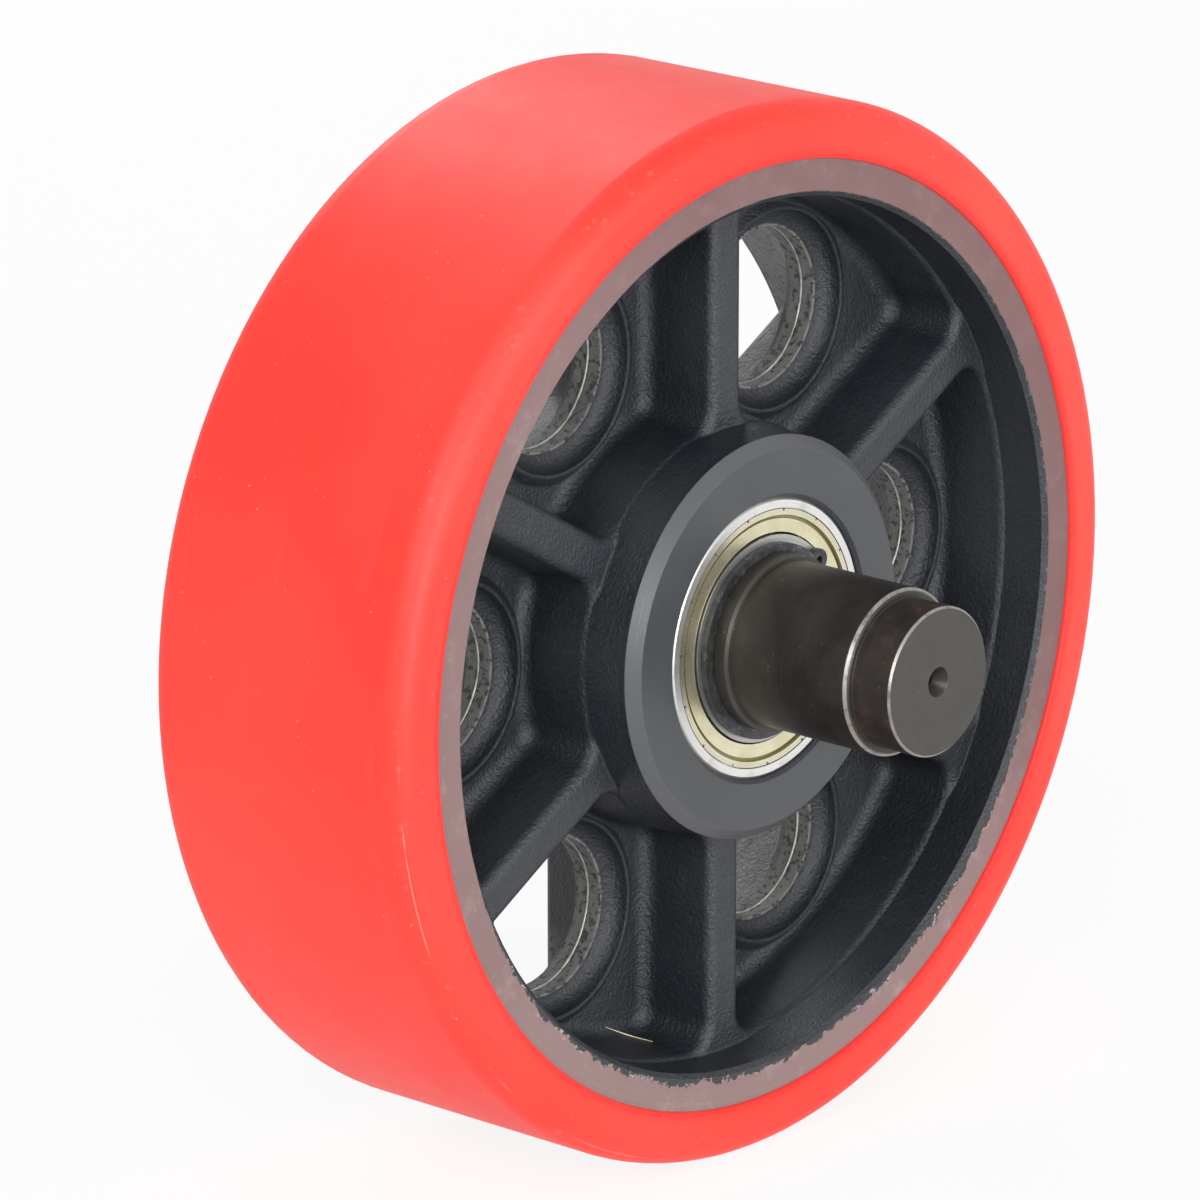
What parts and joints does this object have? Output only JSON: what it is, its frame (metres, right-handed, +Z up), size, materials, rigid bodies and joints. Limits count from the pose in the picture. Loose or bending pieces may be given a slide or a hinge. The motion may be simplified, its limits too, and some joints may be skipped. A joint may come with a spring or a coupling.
{
  "type": "support roller",
  "caption": "Support roller: ribbed cast wheel with a bonded tyre, turning on a fixed stepped axle through shielded ball bearings held by circlips.",
  "frame": {"origin": "centre of the wheel, on the axle's line", "axes": "+Y along the axle from the front bearing to the rear one, +Z up, the seen front faces -Y"},
  "size_m": [0.3, 0.214, 0.3],
  "materials": {
    "casting_paint": "semi-gloss paint over a sand casting, machined rim faces",
    "tyre_compound": "satin red cast elastomer",
    "axle_steel": "blackened turned steel",
    "bearing_steel": "ground",
    "ball_steel": "polished",
    "cage_steel": "pressed sheet",
    "shield_plate": "yellow plated pressed sheet",
    "circlip_steel": "phosphated spring steel"
  },
  "bodies": {
    "axle_body": {"axle": "axle_steel", "front_inner_ring": "bearing_steel", "rear_inner_ring": "bearing_steel", "front_circlip": "circlip_steel", "rear_circlip": "circlip_steel"},
    "wheel_body": {"wheel_casting": "casting_paint", "tyre": "tyre_compound", "front_outer_ring": "bearing_steel", "front_outboard_shield": "shield_plate", "front_inboard_shield": "shield_plate", "rear_outer_ring": "bearing_steel", "rear_outboard_shield": "shield_plate", "rear_inboard_shield": "shield_plate"},
    "front_ball_set": {"front_balls": "ball_steel", "front_cage_outboard": "cage_steel", "front_cage_inboard": "cage_steel", "front_cage_rivets": "cage_steel"},
    "rear_ball_set": {"rear_balls": "ball_steel", "rear_cage_outboard": "cage_steel", "rear_cage_inboard": "cage_steel", "rear_cage_rivets": "cage_steel"}
  },
  "joints": [
    {"name": "wheel_spin", "type": "hinge", "parent": "axle_body", "child": "wheel_body", "pos_m": [0, 0, 0], "axis": [0, 1, 0], "continuous": true},
    {"name": "front_ball_set_spin", "type": "hinge", "parent": "axle_body", "child": "front_ball_set", "pos_m": [0, -0.038, 0], "axis": [0, 1, 0], "continuous": true},
    {"name": "rear_ball_set_spin", "type": "hinge", "parent": "axle_body", "child": "rear_ball_set", "pos_m": [0, 0.038, 0], "axis": [0, 1, 0], "continuous": true}
  ],
  "couplings": [
    {"joint": "front_ball_set_spin", "follows": "wheel_spin", "ratio": 0.56715},
    {"joint": "rear_ball_set_spin", "follows": "wheel_spin", "ratio": 0.56715}
  ]
}
